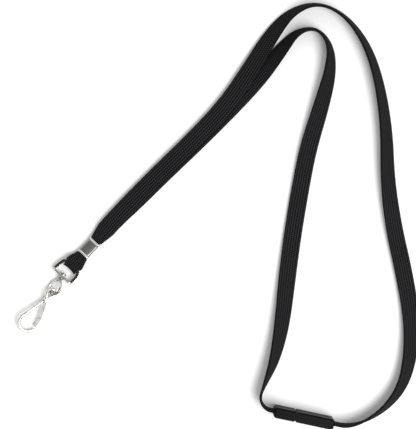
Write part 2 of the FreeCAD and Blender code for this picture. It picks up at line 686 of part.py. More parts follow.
def make_socket():
    gap = TONGUE_CLEARANCE
    pocket_x = CLASP_LENGTH - STRAP_POCKET_DEPTH - STRAP_POCKET_CLEARANCE
    half_tongue = TONGUE_THICKNESS / 2 + gap
    prong_half = PRONG_WIDTH / 2 + gap
    head_half = TONGUE_HEAD_WIDTH / 2 + gap
    prong_reach = CLASP_WIDTH / 2 - PRONG_INSET + gap
    shell = shell_half(SOCKET_MOUTH, CLASP_LENGTH, CLASP_LENGTH)
    cavity_end = SOCKET_MOUTH + TONGUE_REACH + 2 * gap
    prong_end = SOCKET_MOUTH + PRONG_LENGTH + 2 * gap
    shell = shell.cut(box(SOCKET_MOUTH - 1, cavity_end, -head_half, head_half, -half_tongue, half_tongue))
    shell = shell.cut(box(SOCKET_MOUTH - 1, prong_end, -prong_reach, prong_reach, -prong_half, prong_half))
    shell = shell.cut(strap_pocket(pocket_x, CLASP_LENGTH + 1))
    pin_x = CLASP_LENGTH - SOCKET_PIN_INSET
    shell = shell.cut(lock_pin_hole(pin_x))
    write_shell_pair("socket", shell, lens_window(SOCKET_MOUTH + WINDOW_INSET))
    make_lock_pin("socket_lock_pin", pin_x)

    jaw_inner = TONGUE_NECK_WIDTH / 2 + gap
    jaw_x = SOCKET_MOUTH + TONGUE_SHOULDER_LENGTH + gap
    jaws = []
    for side in (-1, 1):
        near, far = sorted((side * jaw_inner, side * head_half))
        jaws.append(box(jaw_x, jaw_x + GRIP_JAW_LENGTH, near, far, -half_tongue + gap, half_tongue - gap))
    write("socket_grip_jaws", place_clasp(Part.makeCompound(jaws)))


def make_plug():
    pocket_end = STRAP_POCKET_DEPTH + STRAP_POCKET_CLEARANCE
    gap = STRAP_POCKET_CLEARANCE
    shell = shell_half(0.0, PLUG_LENGTH, 0.0)
    half_width = TONGUE_ROOT_WIDTH / 2 + gap
    root_x = PLUG_LENGTH - TONGUE_ROOT_LENGTH - gap
    half_thickness = TONGUE_THICKNESS / 2 + gap
    shell = shell.cut(box(root_x, PLUG_LENGTH + 1, -half_width, half_width, -half_thickness, half_thickness))
    shell = shell.cut(strap_pocket(-1.0, pocket_end))
    shell = shell.cut(lock_pin_hole(PLUG_PIN_INSET))
    write_shell_pair("plug", shell)
    make_lock_pin("plug_lock_pin", PLUG_PIN_INSET)
    make_plug_tongue()


def make_plug_tongue():
    """Root plate held between the plug's shells, two guide prongs and the mushroom head."""
    half = TONGUE_THICKNESS / 2
    face_x = PLUG_LENGTH
    neck_half = TONGUE_NECK_WIDTH / 2
    head_half = TONGUE_HEAD_WIDTH / 2
    shoulder_half = TONGUE_SHOULDER_WIDTH / 2
    root_half = TONGUE_ROOT_WIDTH / 2
    root = box(face_x - TONGUE_ROOT_LENGTH, face_x, -root_half, root_half, -half, half)
    shoulder_x = face_x + TONGUE_SHOULDER_LENGTH + CLASP_JOINT_GAP
    shoulder = prism(
        [
            (face_x, -shoulder_half),
            (shoulder_x, -shoulder_half + 0.6),
            (shoulder_x, shoulder_half - 0.6),
            (face_x, shoulder_half),
        ],
        -half,
        half,
    )
    neck = box(face_x, HEAD_REAR + 1.5, -neck_half, neck_half, -half, half)
    crown_x = SOCKET_MOUTH + TONGUE_REACH
    rear_x = HEAD_REAR + 0.5
    tip = vector(HEAD_REAR + 0.9, head_half)
    barb = vector(HEAD_REAR + 0.1, head_half - 0.7)
    rear = [tip, barb, vector(rear_x, neck_half)]
    rear += [vector(point.x, -point.y) for point in reversed(rear)]
    head_edges = [Part.Arc(rear[-1], vector(crown_x, 0), tip).toShape()]
    head_edges += [Part.LineSegment(a, b).toShape() for a, b in zip(rear, rear[1:])]
    head = Part.Face(Part.Wire(head_edges)).extrude(vector(0, 0, TONGUE_THICKNESS))
    head.translate(vector(0, 0, -half))
    prongs = []
    for side in (-1, 1):
        outer = side * (CLASP_WIDTH / 2 - PRONG_INSET)
        near, far = sorted((outer, outer - side * PRONG_WIDTH))
        prong = box(face_x - 1, face_x + PRONG_LENGTH, near, far, -PRONG_WIDTH / 2, PRONG_WIDTH / 2)
        prongs.append(prong.makeChamfer(0.2, [edge for edge in prong.Edges if edge.BoundBox.XMin > face_x]))
    write("plug_tongue", place_clasp(root.fuse([shoulder, neck, head] + prongs).removeSplitter()))


def make_lock_pin(node, pin_x):
    length = CLASP_THICKNESS - 2 * LOCK_PIN_RECESS
    pin = cylinder(LOCK_PIN_RADIUS, vector(pin_x, 0, -length / 2), Z_AXIS, length)
    write(node, place_clasp(pin.makeChamfer(0.2, [pin.Edges[0], pin.Edges[2]])))


os.makedirs("parts", exist_ok=True)
make_straps()
make_strap_clasp_ends()
make_strap_hook_loop()
make_crimp()
make_bail()
make_swivel_eye()
make_hook()
make_socket()
make_plug()
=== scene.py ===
"""A lanyard badge holder: braided strap, breakaway clasp, crimp, swivel eye and sprung wire hook."""

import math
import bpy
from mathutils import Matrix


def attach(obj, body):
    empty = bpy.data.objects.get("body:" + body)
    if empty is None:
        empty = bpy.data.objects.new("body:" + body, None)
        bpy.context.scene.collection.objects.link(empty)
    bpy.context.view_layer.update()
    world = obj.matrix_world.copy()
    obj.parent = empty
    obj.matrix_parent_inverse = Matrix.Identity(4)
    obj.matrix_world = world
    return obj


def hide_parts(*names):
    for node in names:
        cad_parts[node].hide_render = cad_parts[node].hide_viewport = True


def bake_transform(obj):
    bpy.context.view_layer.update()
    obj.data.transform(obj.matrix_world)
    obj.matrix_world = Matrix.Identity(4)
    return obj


bl_info = {
    "name": "Lanyard badge holder",
    "version": (1, 0, 0),
    "blender": (4, 5, 0),
    "location": "3D View > Sidebar > Lanyard",
    "description": "Builds the looks of a lanyard badge holder on its packed CAD frame",
    "category": "Object",
}

import bpy
from bpy.props import FloatProperty, FloatVectorProperty, IntProperty, PointerProperty
from mathutils import Matrix, Vector

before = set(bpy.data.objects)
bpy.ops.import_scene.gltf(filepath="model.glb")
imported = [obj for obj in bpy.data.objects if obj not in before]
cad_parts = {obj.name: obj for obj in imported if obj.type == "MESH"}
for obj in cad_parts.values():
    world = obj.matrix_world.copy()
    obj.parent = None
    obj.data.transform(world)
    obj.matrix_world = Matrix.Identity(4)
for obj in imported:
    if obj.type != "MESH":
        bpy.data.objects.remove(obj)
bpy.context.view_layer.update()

MM = 0.001
UP = Vector((0, 0, 1))
SIDEWAYS = Vector((0, 1, 0))
VIEW_MIDDLE = Vector((0.066, 0.0186, 0))

# Strap, in millimetres, and its folded part inside the crimp
PINCHED_WIDTH = 5.44
PINCHED_THICKNESS = 1.15
CRIMP_FLOOR = 0.58
BUNCH_LENGTH = 9.0
LAYER_LIFT = 1.7
UPPER_LAYER_UNTIL = 118.0
UPPER_LAYER_FADE = 52.0
CLASP_LIFT = 1.3
CLASP_LIFT_LENGTH = 26.0
PLEAT_DEPTH = 1.1
STATION_STEP = 0.37
STITCH_LENGTH = 1.3
COLUMNS_PER_RIB = 5
SELVEDGE = ((1.045, 0.55), (1.06, 0.0), (1.045, -0.55))

# Each route from the crimp to the clasp: x, y and the strap's roll in degrees
RIGHT_ROUTE = [
    (3.648, 3.845, 0),
    (12.2, 13.9, 0),
    (24.0, 26.3, 0),
    (40.0, 42.4, 0),
    (58.0, 59.8, 0),
    (76.0, 79.0, 0),
    (89.0, 98.0, 8),
    (101.0, 118.0, 35),
    (112.0, 131.0, 62),
    (127.0, 136.0, 78),
    (142.0, 129.0, 74),
    (154.0, 113.0, 62),
    (161.0, 92.0, 55),
    (165.0, 65.0, 45),
    (165.5, 38.0, 34),
    (169.0, 12.0, 18),
    (175.0, -14.0, 12),
    (179.0, -38.0, 20),
    (178.5, -58.0, 34),
    (174.5, -75.0, 48),
    (166.0, -87.0, 62),
    (154.0, -95.5, 76),
    (142.88, -98.378, 90),
    (134.96, -96.68, 90),
    (128.21, -95.23, 90),
]
LEFT_ROUTE = [
    (3.648, 3.845, 0),
    (12.2, 13.9, 0),
    (24.8, 25.4, 0),
    (41.0, 41.4, 0),
    (59.4, 58.8, 0),
    (77.4, 76.7, 0),
    (93.0, 93.0, 14),
    (105.5, 108.5, 44),
    (115.0, 120.0, 70),
    (126.5, 122.0, 80),
    (134.0, 112.5, 70),
    (134.0, 98.0, 50),
    (128.9, 79.0, 28),
    (121.5, 55.0, 12),
    (117.0, 31.0, 6),
    (113.0, 7.0, 8),
    (110.0, -16.0, 16),
    (107.6, -38.0, 30),
    (105.2, -52.0, 44),
    (102.4, -63.0, 58),
    (99.4, -70.8, 70),
    (97.0, -76.5, 80),
    (94.84, -82.12, 88),
    (95.67, -86.03, 90),
    (98.49, -88.86, 90),
    (102.4, -89.7, 90),
    (109.15, -91.15, 90),
]

# Hardware: x runs from the crimp towards the hook, y to the left of it, z up from the table
HARDWARE_DIRECTION = math.radians(226.5)
HARDWARE_TURN = Matrix.Rotation(HARDWARE_DIRECTION, 4, "Z")
CRIMP_LENGTH = 10.6
CRIMP_WIDTH = 6.6
CRIMP_HEIGHT = 3.46
CRIMP_WALL = 0.5
CRIMP_SEAM = (1.7, 2.0)
CRIMP_CORNER_RADIUS = 0.95
CRIMP_MOUTH_BOW = 0.38
# The rolled lip: how far in from the crimp's mouth, and how far out from its side
CRIMP_LIP = (
    (0.12, -0.1),
    (0.0, 0.20),
    (0.08, 0.38),
    (0.3, 0.5),
    (0.7, 0.48),
    (1.2, 0.14),
    (1.45, 0.0),
)
BAR_X = 13.834
BAR_HEIGHT = 2.766
LOOP_MID_RADIUS = 2.116
LOOP_THICKNESS = 1.3
LOOP_WIDTH = 10.4
LOOP_WAIST = 2.2
LOOP_FLARE_LENGTH = 6.4
LOOP_FOLD_START = 12.3
LOOP_HOLLOW = 0.6
LOOP_HOLLOW_START = 11.5
BAIL_SHEET = 1.2
# Corners of the bail's outline and of its opening, each with the radius of its bend
BAIL_OUTLINE = (
    ((12.8, 0.0), 14.0),
    ((13.1, 6.05), 2.4),
    ((17.4, 6.85), 16.0),
    ((21.834, 6.7), 0.5),
    ((21.834, -7.2), 0.5),
    ((17.4, -7.0), 16.0),
    ((13.1, -6.15), 2.4),
)
BAIL_OPENING = (
    ((14.45, 0.0), 14.0),
    ((15.0, 4.6), 1.1),
    ((17.6, 5.0), 8.0),
    ((20.95, 5.0), 0.5),
    ((20.95, -5.3), 0.5),
    ((17.6, -5.1), 8.0),
    ((15.0, -4.65), 1.1),
)
BAIL_OPENING_MIDDLE = Vector((17.6, 0, 0))
PLATE_X = (20.834, 21.834)
PLATE_DEPTH = 5.0
PLATE_HALF_WIDTH = 6.8
PLATE_CORNER_RADIUS = 1.7
PLATE_BORE_RADIUS = 1.07
PLATE_EDGE_SHARE = 2.9
EYE_LEAN_ANGLE = math.radians(9.5)
EYE_LEAN = Matrix.Rotation(EYE_LEAN_ANGLE, 4, "Z")
EYE_ROLL = Matrix.Rotation(math.radians(31.0), 4, "X")
EYE_WIRE_RADIUS = 0.7
EYE_TOP_X = 2.964
EYE_BEND_RADIUS = 3.6
EYE_BOTTOM_X = 11.364
EYE_PEAR = 0.22
STEM_FACE_X = 0.864
# Outline of the swivel's peened head, pin and grooved collar: distance from the pin's middle, and radius
STEM_OUTLINE = (
    (-STEM_FACE_X - 0.90, 0.5),
    (-STEM_FACE_X - 0.86, 1.0),
    (-STEM_FACE_X - 0.70, 1.42),
    (-STEM_FACE_X - 0.40, 1.68),
    (-STEM_FACE_X - 0.12, 1.70),
    (-STEM_FACE_X, 1.60),
    (-STEM_FACE_X, 1.0),
    (STEM_FACE_X, 1.0),
    (STEM_FACE_X, 1.40),
    (STEM_FACE_X + 0.10, 1.52),
    (STEM_FACE_X + 0.34, 1.52),
    (STEM_FACE_X + 0.44, 1.28),
    (STEM_FACE_X + 0.56, 1.28),
    (STEM_FACE_X + 0.66, 1.46),
    (STEM_FACE_X + 0.90, 1.40),
    (STEM_FACE_X + 1.05, 1.12),
    (STEM_FACE_X + 1.35, 1.02),
    (EYE_TOP_X - 0.45, 0.98),
    (EYE_TOP_X, 0.90),
    (EYE_TOP_X + 0.30, 0.55),
)
HOOK_WIRE_RADIUS = 0.85
HOOK_LOOP_LENGTH = 7.2
HOOK_LOOP_SPREAD = 3.8
HOOK_LOOP_BEND = 2.25
HOOK_LOOP_SKEW = math.radians(-7.0)
HOOK_BOW_CENTRE = Vector((15.7, -0.45, 0))
HOOK_BOW_RADIUS = 5.1
HOOK_TIP_ANGLE = 66.0
HOOK_TURNS = (("Z", -1.0), ("Y", 0.6), ("X", -20.0))
HOOK_EYE_CLEARANCE = 0.65
HOOK_LINK = HOOK_WIRE_RADIUS + EYE_WIRE_RADIUS + HOOK_EYE_CLEARANCE - HOOK_LOOP_LENGTH
HOOK_BENDS = (0, 12.0, HOOK_LOOP_BEND, HOOK_LOOP_BEND, 5.0, 9.0, 0)
GATE_CROSSING_GAP = 0.4
GATE_KNEE = (9.6, 3.3)
GATE_TIP = Vector((15.3, 3.7, 0))


# Settings that a user would change ---------------------------------------------------------------


def linear(code):
    """A colour for a shader, from its sRGB hex value."""
    parts = [int(code[start : start + 2], 16) / 255 for start in (1, 3, 5)]
    return tuple(part / 12.92 if part <= 0.04045 else ((part + 0.055) / 1.055) ** 2.4 for part in parts)


LENGTH = {"unit": "LENGTH", "subtype": "DISTANCE"}
COLOUR = {"size": 3, "subtype": "COLOR"}


class LanyardStrapSettings(bpy.types.PropertyGroup):
    width: FloatProperty(
        name="Width", description="Width of the flat braid", default=0.010, **LENGTH
    )
    thickness: FloatProperty(
        name="Thickness", description="Thickness of the flat braid", default=0.0015, **LENGTH
    )
    ribs: IntProperty(name="Ribs", description="Lengthwise ribs on each face", default=7, min=3, max=15)
    rib_depth: FloatProperty(
        name="Rib depth", description="Depth of the grooves between ribs", default=0.00028, **LENGTH
    )
    # The weave is coloured from the crest colour on the ribs down to the groove colour between them; the
    # groove colour is painted shade.
    yarn_crest: FloatVectorProperty(
        name="Yarn crest", description="Colour on top of the ribs", default=linear("#333335"), **COLOUR
    )
    groove_painted_shade: FloatVectorProperty(
        name="Yarn groove", description="Colour between the ribs", default=linear("#050505"), **COLOUR
    )


class LanyardHardwareSettings(bpy.types.PropertyGroup):
    nickel: FloatVectorProperty(
        name="Nickel", description="Bright nickel plating", default=linear("#e2e1dd"), **COLOUR
    )
    crimp: FloatVectorProperty(
        name="Crimp", description="Satin nickel of the crimp's faces", default=linear("#92928c"), **COLOUR
    )
    bail_edge: FloatProperty(
        name="Bail edge", description="Radius of the bail's tumbled edges", default=0.00016, **LENGTH
    )


class LanyardClaspSettings(bpy.types.PropertyGroup):
    plastic: FloatVectorProperty(
        name="Plastic", description="Moulded black acetal", default=linear("#0b0c0c"), **COLOUR
    )
    edge: FloatProperty(
        name="Edge", description="Radius of the mould's edges", default=0.00016, **LENGTH
    )


class LanyardStageSettings(bpy.types.PropertyGroup):
    paper: FloatVectorProperty(
        name="Paper", description="White paper under the lanyard", default=linear("#f4f4f4"), **COLOUR
    )
    camera_height: FloatProperty(
        name="Camera height", description="Height of the camera above the paper", default=0.664, **LENGTH
    )
    key_power: FloatProperty(name="Key light", description="Power of the large soft light", default=8.0)
    sky: FloatProperty(name="Surrounding light", description="Strength of the light all round", default=1.0)


# Materials ---------------------------------------------------------------------------------------


def add_node(tree, kind, sockets=None, **settings):
    """One node with its settings; a socket that is given another node's output is linked to it."""
    node = tree.nodes.new(kind)
    for name, value in settings.items():
        setattr(node, name, value)
    for name, value in (sockets or {}).items():
        if isinstance(value, bpy.types.NodeSocket):
            tree.links.new(value, node.inputs[name])
        else:
            node.inputs[name].default_value = value
    return node


def blank_material(name):
    """A material with only its shader and output."""
    material = bpy.data.materials.new(name)
    material.use_nodes = True
    tree = material.node_tree
    tree.nodes.clear()
    shader = add_node(tree, "ShaderNodeBsdfPrincipled")
    add_node(tree, "ShaderNodeOutputMaterial", {"Surface": shader.outputs["BSDF"]})
    return material, tree, shader


def blend_colours(tree, share, low, high):
    """The output of a colour mix between two colours."""
    mix = add_node(tree, "ShaderNodeMix", {"Factor": share}, data_type="RGBA")
    mix.inputs["A"].default_value = (*low, 1)
    mix.inputs["B"].default_value = (*high, 1)
    return mix.outputs["Result"]


def braided_polyester():
    """Flat braid of dyed polyester yarn, dull and slightly fuzzy."""
    found = bpy.data.materials.get("braided_black_polyester")
    if found:
        return found
    look = bpy.context.scene.lanyard_strap
    material, tree, shader = blank_material("braided_black_polyester")
    # Many fine fibres give the eye a soft black with no clear highlight, and a pale fuzz when seen
    # along the surface.
    shader.inputs["Roughness"].default_value = 0.78
    shader.inputs["Specular IOR Level"].default_value = 0.04
    shader.inputs["Sheen Weight"].default_value = 0.02
    shader.inputs["Sheen Roughness"].default_value = 0.45
    pitch = look.width / MM / look.ribs
    cloth = add_node(tree, "ShaderNodeUVMap", uv_map="braid_mm")
    sides = add_node(tree, "ShaderNodeSeparateXYZ", {"Vector": cloth.outputs["UV"]})
    across = add_node(tree, "ShaderNodeMath", {0: sides.outputs["X"], 1: 1 / pitch}, operation="MULTIPLY")
    rib = add_node(tree, "ShaderNodeMath", {0: across.outputs[0]}, operation="FRACT")
    centred = add_node(tree, "ShaderNodeMath", {0: rib.outputs[0], 1: 0.5}, operation="SUBTRACT")
    off_crest = add_node(tree, "ShaderNodeMath", {0: centred.outputs[0]}, operation="ABSOLUTE")
    # The yarns of each rib lean away from its crest on both sides, like the two arms of a V.
    lean = add_node(
        tree,
        "ShaderNodeMath",
        {0: off_crest.outputs[0], 1: 1.1 * pitch, 2: sides.outputs["Y"]},
        operation="MULTIPLY_ADD",
    )
    # A stitch is 1.3 mm long, and each rib's stitches start half a stitch after its neighbour's.
    beat = add_node(tree, "ShaderNodeMath", {0: across.outputs[0]}, operation="FLOOR")
    half_beat = add_node(
        tree,
        "ShaderNodeMath",
        {0: beat.outputs[0], 1: STITCH_LENGTH / 2, 2: lean.outputs[0]},
        operation="MULTIPLY_ADD",
    )
    turns = add_node(
        tree, "ShaderNodeMath", {0: half_beat.outputs[0], 1: math.tau / STITCH_LENGTH}, operation="MULTIPLY"
    )
    yarn = add_node(tree, "ShaderNodeMath", {0: turns.outputs[0]}, operation="SINE")
    # Single fibres of about 0.05 mm are too fine to show, so the fuzz is drawn at 0.25 mm.
    fuzz = add_node(
        tree,
        "ShaderNodeTexNoise",
        {"Vector": cloth.outputs["UV"], "Scale": 4.0, "Detail": 4.0, "Roughness": 0.65},
    )
    # Dye and handling change slowly over some 15 mm.
    wear = add_node(tree, "ShaderNodeTexNoise", {"Vector": cloth.outputs["UV"], "Scale": 0.07, "Detail": 2.0})
    # Each rib is coloured from its crest colour down to near black towards the grooves and between the
    # stitches: painted shade in the weave's hollows, on top of the ribs that the mesh models.
    crest = add_node(
        tree,
        "ShaderNodeMapRange",
        {"Value": off_crest.outputs[0], "From Min": 0.44, "From Max": 0.08, "To Min": 0.0, "To Max": 0.62},
    )
    painted_weave_shade = add_node(
        tree,
        "ShaderNodeMath",
        {0: yarn.outputs[0], 1: crest.outputs[0], 2: crest.outputs[0]},
        operation="MULTIPLY_ADD",
    )
    # The slow dye and handling changes are added to that painted shade.
    wear_and_painted_shade = add_node(
        tree,
        "ShaderNodeMath",
        {0: wear.outputs["Fac"], 1: 0.08, 2: painted_weave_shade.outputs[0]},
        operation="MULTIPLY_ADD",
    )
    colour = blend_colours(tree, wear_and_painted_shade.outputs[0], look.groove_painted_shade, look.yarn_crest)
    tree.links.new(colour, shader.inputs["Base Color"])
    height = add_node(
        tree, "ShaderNodeMath", {0: fuzz.outputs["Fac"], 1: 1.2, 2: yarn.outputs[0]}, operation="MULTIPLY_ADD"
    )
    bump = add_node(
        tree, "ShaderNodeBump", {"Height": height.outputs[0], "Strength": 0.55, "Distance": 0.00006}
    )
    tree.links.new(bump.outputs["Normal"], shader.inputs["Normal"])
    return material


def plated_nickel(name="bright_nickel_plated_steel", wear_and_painted_reflection=0.35, haze=0.03):
    """Bright nickel plating on steel: the middle argument sets how far its smears darken, which is dulling
    wear and, where strong as on the swivel eye, painted dark reflection; haze is its least roughness.
    """
    found = bpy.data.materials.get(name)
    if found:
        return found
    look = bpy.context.scene.lanyard_hardware
    material, tree, shader = blank_material(name)
    # Nickel mirrors its surroundings a little warmer than chrome, with warm darker smears in a noise pattern:
    # partly where hands have dulled it, partly painted dark reflection.
    shader.inputs["Metallic"].default_value = 1.0
    place = add_node(tree, "ShaderNodeTexCoord")
    # Smears are some 3 mm long.
    smear = add_node(
        tree, "ShaderNodeTexNoise", {"Vector": place.outputs["Object"], "Scale": 330.0, "Detail": 3.0}
    )
    # The smear colour is the nickel darkened and warmed: dulling, and painted dark reflection where it is
    # strong.
    smear_painted_reflection_colour = tuple(part * (1 - wear_and_painted_reflection * share) for part, share in zip(look.nickel, (0.97, 1.00, 1.08)))
    spread = add_node(
        tree,
        "ShaderNodeMapRange",
        {"Value": smear.outputs["Fac"], "From Min": 0.60 - 0.25 * wear_and_painted_reflection, "From Max": 0.72 - 0.2 * wear_and_painted_reflection},
    )
    tree.links.new(blend_colours(tree, spread.outputs[0], look.nickel, smear_painted_reflection_colour), shader.inputs["Base Color"])
    dull = add_node(
        tree,
        "ShaderNodeMapRange",
        {
            "Value": smear.outputs["Fac"],
            "From Min": 0.3,
            "From Max": 0.8,
            "To Min": haze,
            "To Max": haze + 0.10,
        },
    )
    tree.links.new(dull.outputs[0], shader.inputs["Roughness"])
    # Tumbling leaves pits of about 0.2 mm under the plating.
    pits = add_node(
        tree, "ShaderNodeTexNoise", {"Vector": place.outputs["Object"], "Scale": 5000.0, "Detail": 2.0}
    )
    bump = add_node(
        tree, "ShaderNodeBump", {"Height": pits.outputs["Fac"], "Strength": 0.12, "Distance": 0.00002}
    )
    tree.links.new(bump.outputs["Normal"], shader.inputs["Normal"])
    return material


def satin_nickel():
    """Satin nickel on folded steel strip, rubbed along its length in the press."""
    found = bpy.data.materials.get("satin_nickel_strip")
    if found:
        return found
    look = bpy.context.scene.lanyard_hardware
    material, tree, shader = blank_material("satin_nickel_strip")
    # The rubbed face is a mid grey with fine lines along the crimp and no sharp mirror image.
    shader.inputs["Metallic"].default_value = 1.0
    place = add_node(tree, "ShaderNodeTexCoord")
    # Lines of about 0.15 mm, thirty times as long.
    along = add_node(
        tree,
        "ShaderNodeMapping",
        {
            "Vector": place.outputs["Object"],
            "Rotation": (0, 0, -HARDWARE_DIRECTION),
            "Scale": (220.0, 6600.0, 6600.0),
        },
    )
    lines = add_node(
        tree, "ShaderNodeTexNoise", {"Vector": along.outputs["Vector"], "Scale": 1.0, "Detail": 3.0}
    )
    dark = tuple(part * 0.74 for part in look.crimp)
    tree.links.new(
        blend_colours(tree, lines.outputs["Fac"], dark, look.crimp), shader.inputs["Base Color"]
    )
    rough = add_node(
        tree, "ShaderNodeMapRange", {"Value": lines.outputs["Fac"], "To Min": 0.26, "To Max": 0.38}
    )
    tree.links.new(rough.outputs[0], shader.inputs["Roughness"])
    bump = add_node(
        tree, "ShaderNodeBump", {"Height": lines.outputs["Fac"], "Strength": 0.25, "Distance": 0.00002}
    )
    tree.links.new(bump.outputs["Normal"], shader.inputs["Normal"])
    return material


def moulded_acetal(name, tint, roughness, grain):
    """Black acetal, injection moulded in a fine spark-eroded tool: tint lightens it, grain roughens it."""
    found = bpy.data.materials.get(name)
    if found:
        return found
    look = bpy.context.scene.lanyard_clasp
    material, tree, shader = blank_material(name)
    # A waxy black with a satin sheen; faces that the tool dragged on are a touch smoother than the rest.
    shader.inputs["IOR"].default_value = 1.48
    shader.inputs["Specular IOR Level"].default_value = 0.07
    place = add_node(tree, "ShaderNodeTexCoord")
    # Spark erosion leaves grains of about 0.1 mm, drawn at 0.2 mm so that they show.
    grains = add_node(
        tree, "ShaderNodeTexNoise", {"Vector": place.outputs["Object"], "Scale": 5000.0, "Detail": 2.0}
    )
    # Flow marks from the gate are some 5 mm across.
    flow = add_node(
        tree, "ShaderNodeTexNoise", {"Vector": place.outputs["Object"], "Scale": 200.0, "Detail": 2.0}
    )
    light = tuple(part * tint for part in look.plastic)
    dark = tuple(part * 0.75 for part in light)
    tree.links.new(blend_colours(tree, flow.outputs["Fac"], dark, light), shader.inputs["Base Color"])
    rough = add_node(
        tree,
        "ShaderNodeMapRange",
        {"Value": flow.outputs["Fac"], "To Min": roughness - 0.06, "To Max": roughness + 0.08},
    )
    tree.links.new(rough.outputs[0], shader.inputs["Roughness"])
    bump = add_node(
        tree, "ShaderNodeBump", {"Height": grains.outputs["Fac"], "Strength": grain, "Distance": 0.00003}
    )
    tree.links.new(bump.outputs["Normal"], shader.inputs["Normal"])
    return material


def white_paper():
    """Seamless white background paper, matt and nearly even."""
    look = bpy.context.scene.lanyard_stage
    material, tree, shader = blank_material("white_background_paper")
    # Paper scatters light evenly and has a faint cloudiness from its pulp, some 40 mm across.
    shader.inputs["Roughness"].default_value = 0.9
    shader.inputs["Specular IOR Level"].default_value = 0.1
    place = add_node(tree, "ShaderNodeTexCoord")
    pulp = add_node(
        tree, "ShaderNodeTexNoise", {"Vector": place.outputs["Object"], "Scale": 25.0, "Detail": 3.0}
    )
    dark = tuple(part * 0.97 for part in look.paper)
    tree.links.new(blend_colours(tree, pulp.outputs["Fac"], dark, look.paper), shader.inputs["Base Color"])
    return material


# Shapes ------------------------------------------------------------------------------------------


def smooth(share):
    """A share of 0 to 1, eased at both ends."""
    share = min(1.0, max(0.0, share))
    return share * share * (3 - 2 * share)


def between(low, high, share):
    """The size that lies this share of the way from one size to another."""
    return low + share * (high - low)


def flare(distance, length):
    """How far the strap has opened out: a step at the crimp's lip, then evenly to its full width."""
    share = min(1.0, max(0.0, distance / length))
    return 0.36 * smooth((distance + 0.5) / 1.4) + 0.64 * (0.35 * share + 0.65 * smooth(share))


def new_piece(name, points, faces, materials, body, sharp=None):
    """A mesh object from points in millimetres, which rides on its body."""
    mesh = bpy.data.meshes.new(name)
    mesh.from_pydata([point * MM for point in points], [], faces)
    mesh.polygons.foreach_set("use_smooth", [True] * len(faces))
    for material in materials:
        mesh.materials.append(material)
    if sharp:
        mesh.set_sharp_from_angle(angle=math.radians(sharp))
    piece = bpy.data.objects.new(name, mesh)
    bpy.context.scene.collection.objects.link(piece)
    if body:
        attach(piece, body)
    return piece


def add_bevel(piece, width, segments=3, angle=35):
    """Rounded edges, as tumbling or a mould leaves them."""
    bevel = piece.modifiers.new("edges", "BEVEL")
    bevel.width = width
    bevel.segments = segments
    bevel.limit_method = "ANGLE"
    bevel.angle_limit = math.radians(angle)
    bevel.harden_normals = True
    return bevel


def skin_faces(rows, columns, closed_rows, closed_columns, first=0):
    """Faces between rows of points, each row as long as the others."""
    faces = []
    for row in range(rows if closed_rows else rows - 1):
        near = first + row * columns
        far = first + (row + 1) % rows * columns
        for column in range(columns if closed_columns else columns - 1):
            beside = (column + 1) % columns
            faces.append((near + column, near + beside, far + beside, far + column))
    return faces


def bent_line(corners, radii, closed=False, steps=10):
    """The line through a metal piece's corners, with an arc of the given radius at each."""
    count = len(corners)
    line = []
    for number, corner in enumerate(corners):
        if not closed and number in (0, count - 1):
            line.append(corner.copy())
            continue
        back = (corners[number - 1] - corner).normalized()
        on = (corners[(number + 1) % count] - corner).normalized()
        half = back.angle(on) / 2
        reach = radii[number] / math.tan(half)
        centre = corner + (back + on).normalized() * (radii[number] / math.sin(half))
        start = corner + back * reach - centre
        end = corner + on * reach - centre
        swing = start.angle(end)
        for step in range(steps + 1):
            share = step / steps
            line.append(
                centre
                + (start * math.sin((1 - share) * swing) + end * math.sin(share * swing)) / math.sin(swing)
            )
    return line


def wire_rings(centres, radius, sides=28, closed=False, round_ends=True):
    """Rings of points round a wire's centre line, closing to a dome at each free end."""
    count = len(centres)
    rings = []
    side = None
    for number, centre in enumerate(centres):
        if closed:
            along = (centres[(number + 1) % count] - centres[number - 1]).normalized()
        else:
            along = (centres[min(number + 1, count - 1)] - centres[max(number - 1, 0)]).normalized()
        if side is None:
            side = along.orthogonal().normalized()
        side = (side - along * side.dot(along)).normalized()
        other = along.cross(side)
        rings.append((centre, along, side, other, radius))
    if not closed and round_ends:
        domes = []
        for outwards, (centre, along, side, other, _) in ((-radius, rings[0]), (radius, rings[-1])):
            dome = []
            for angle in (88, 75, 60, 45, 30, 15):
                bend = math.radians(angle)
                tip = centre + along * outwards * math.sin(bend)
                dome.append((tip, along, side, other, radius * math.cos(bend)))
            domes.append(dome)
        rings = domes[0] + rings + domes[1][::-1]
    points = []
    for centre, along, side, other, size in rings:
        for number in range(sides):
            angle = math.tau * number / sides
            points.append(centre + (side * math.cos(angle) + other * math.sin(angle)) * size)
    faces = skin_faces(len(rings), sides, closed, True)
    if not closed:
        faces.append(tuple(range(sides))[::-1])
        faces.append(tuple(range(len(points) - sides, len(points))))
    return points, faces


def turned_rings(profile, sides=40):
    """Points and faces of a part turned about the x axis, from its outline of x and radius."""
    points = []
    for x, radius in profile:
        for number in range(sides):
            angle = math.tau * number / sides
            points.append(Vector((x, radius * math.cos(angle), radius * math.sin(angle))))
    faces = skin_faces(len(profile), sides, False, True)
    faces.append(tuple(range(sides))[::-1])
    faces.append(tuple(range(len(points) - sides, len(points))))
    return points, faces


def joined(*shells):
    """Several lots of points and faces as one."""
    points, faces = [], []
    for more_points, more_faces in shells:
        shift = len(points)
        points += more_points
        faces += [tuple(corner + shift for corner in face) for face in more_faces]
    return points, faces


def at_hardware(points):
    """Points set out along the hardware, turned to its place in the layout."""
    return [HARDWARE_TURN @ point for point in points]


def at_eye(points):
    """Points of the swivel, measured along its pin from the middle of the plate."""
    middle = Vector(((PLATE_X[0] + PLATE_X[1]) / 2, 0, BAR_HEIGHT))
    return [HARDWARE_TURN @ (EYE_LEAN @ point + middle) for point in points]


